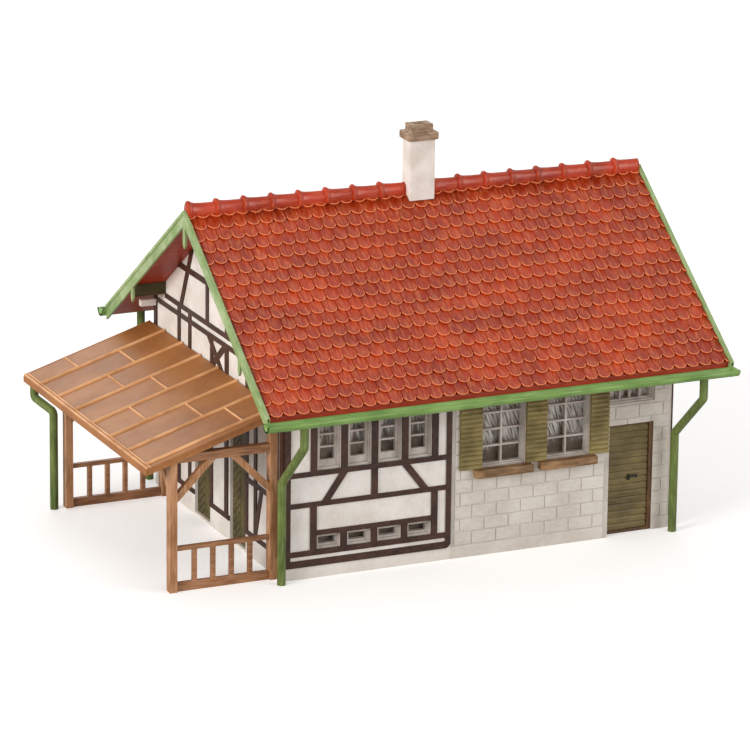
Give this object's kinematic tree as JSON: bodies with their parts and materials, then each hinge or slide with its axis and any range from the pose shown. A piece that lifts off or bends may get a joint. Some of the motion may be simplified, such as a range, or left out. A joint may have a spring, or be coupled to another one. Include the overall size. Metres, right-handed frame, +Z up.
{
  "type": "scale model half-timbered cottage",
  "caption": "Model half-timbered cottage with a tiled gable roof, chimney, shutters, gutters and an open side porch on posts.",
  "frame": {"origin": "middle of the house footprint on the ground, under the floor plate", "axes": "+X along the front wall from the porch end to the door end; +Y from the front wall to the rear wall; +Z up"},
  "size_m": [0.1209, 0.0898, 0.0802],
  "materials": {
    "plaster_white": "white moulded plaster panels, slightly warm",
    "block_white": "white moulded block wall with fine joints",
    "timber_brown": "dark brown moulded timbers",
    "window_grey": "pale grey moulded window frames",
    "window_pane": "clear glazing sheet",
    "printed_card": "card printed with curtains",
    "shutter_olive": "olive green moulded boards",
    "sill_brown": "greyish brown",
    "door_frame_brown": "dark brown",
    "roof_red": "satin tile red",
    "verge_green": "light green",
    "purlin_green": "dark green",
    "chimney_white": "white",
    "chimney_cap_brown": "dull brown",
    "gutter_green": "leaf green",
    "pipe_green": "mid green",
    "porch_roof_tan": "tan moulded boards",
    "porch_brown": "reddish brown",
    "floor_grey": "grey brown"
  },
  "bodies": {
    "root": {"house_floor": "floor_grey", "front_timber_wall": "plaster_white", "front_block_wall": "block_white", "porch_gable_wall": "plaster_white", "door_gable_wall": "plaster_white", "rear_wall": "plaster_white", "front_timbers": "timber_brown", "porch_gable_timbers": "timber_brown", "door_gable_timbers": "timber_brown", "rear_timbers": "timber_brown", "front_casements": "window_grey", "block_wall_casements": "window_grey", "transom_window": "window_grey", "rear_casements": "window_grey", "front_panes": "window_pane", "transom_pane": "window_pane", "rear_panes": "window_pane", "curtain_card": "printed_card", "left_shutter": "shutter_olive", "middle_shutter": "shutter_olive", "right_shutter": "shutter_olive", "left_window_sill": "sill_brown", "right_window_sill": "sill_brown", "front_door": "shutter_olive", "front_door_frame": "door_frame_brown", "porch_doors": "shutter_olive", "front_roof_slope": "roof_red", "rear_roof_slope": "roof_red", "left_ridge_caps": "roof_red", "right_ridge_caps": "roof_red", "porch_verge_front": "verge_green", "porch_verge_rear": "verge_green", "door_verge_front": "verge_green", "door_verge_rear": "verge_green", "front_purlin": "purlin_green", "rear_purlin": "purlin_green", "chimney_shaft": "chimney_white", "chimney_cap": "chimney_cap_brown", "front_gutter": "gutter_green", "rear_gutter": "gutter_green", "front_left_downpipe": "pipe_green", "front_right_downpipe": "pipe_green", "rear_left_downpipe": "pipe_green", "rear_right_downpipe": "pipe_green", "porch_roof": "porch_roof_tan", "porch_front_left_post": "porch_brown", "porch_front_right_post": "porch_brown", "porch_rear_left_post": "porch_brown", "porch_rear_right_post": "porch_brown", "porch_front_beam": "porch_brown", "porch_rear_beam": "porch_brown", "porch_eave_beam": "porch_brown", "porch_front_rail": "porch_brown", "porch_rear_rail": "porch_brown", "porch_downpipe": "pipe_green"}
  },
  "joints": []
}
